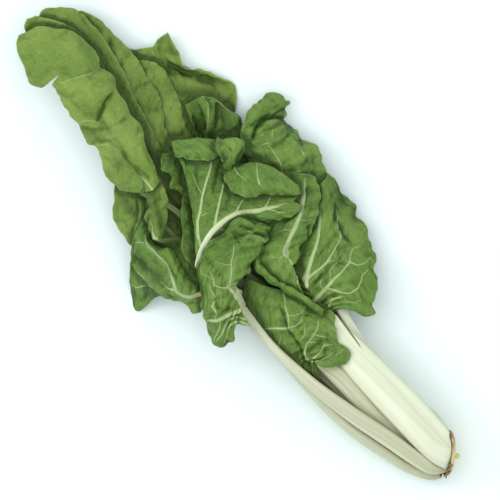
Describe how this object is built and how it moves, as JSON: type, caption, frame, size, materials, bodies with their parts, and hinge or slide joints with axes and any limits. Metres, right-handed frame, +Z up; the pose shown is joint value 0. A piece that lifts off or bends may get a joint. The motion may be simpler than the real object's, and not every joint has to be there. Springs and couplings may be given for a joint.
{
  "type": "white-stemmed chard bunch",
  "caption": "Head of white-stemmed Swiss chard cut at the base and lying on its side, with broad pale stems wrapped round a cut crown and crinkled green leaf blades with white veins.",
  "frame": {"origin": "middle of the bunch's box at the height of the surface it lies on", "axes": "+X from the cut base to the leaf tips, +Y to the left of that, +Z up from the surface"},
  "size_m": [0.5259, 0.218, 0.0708],
  "materials": {
    "stem": "satin",
    "blade": "satin",
    "tall_blade": "satin",
    "dark_blade": "satin",
    "crown": "matte",
    "stub": "satin"
  },
  "bodies": {
    "root": {"back_right_stem": "stem", "back_right_blade": "blade", "tall_fifth_stem": "stem", "tall_fifth_blade": "tall_blade", "tall_fourth_stem": "stem", "tall_fourth_blade": "tall_blade", "tall_third_stem": "stem", "tall_third_blade": "tall_blade", "tall_second_stem": "stem", "tall_second_blade": "tall_blade", "left_outer_stem": "stem", "left_outer_blade": "blade", "left_ridge_stem": "stem", "left_ridge_blade": "blade", "tall_top_stem": "stem", "tall_top_blade": "tall_blade", "back_cupped_stem": "stem", "back_cupped_blade": "dark_blade", "frilly_inner_stem": "stem", "frilly_inner_blade": "dark_blade", "right_back_stem": "stem", "right_back_blade": "blade", "right_outer_stem": "stem", "right_outer_blade": "blade", "front_small_stem": "stem", "front_small_blade": "blade", "right_inner_stem": "stem", "right_inner_blade": "blade", "centre_curled_stem": "stem", "centre_curled_blade": "blade", "centre_top_stem": "stem", "centre_top_blade": "blade", "crown": "crown", "stub": "stub"}
  },
  "joints": []
}
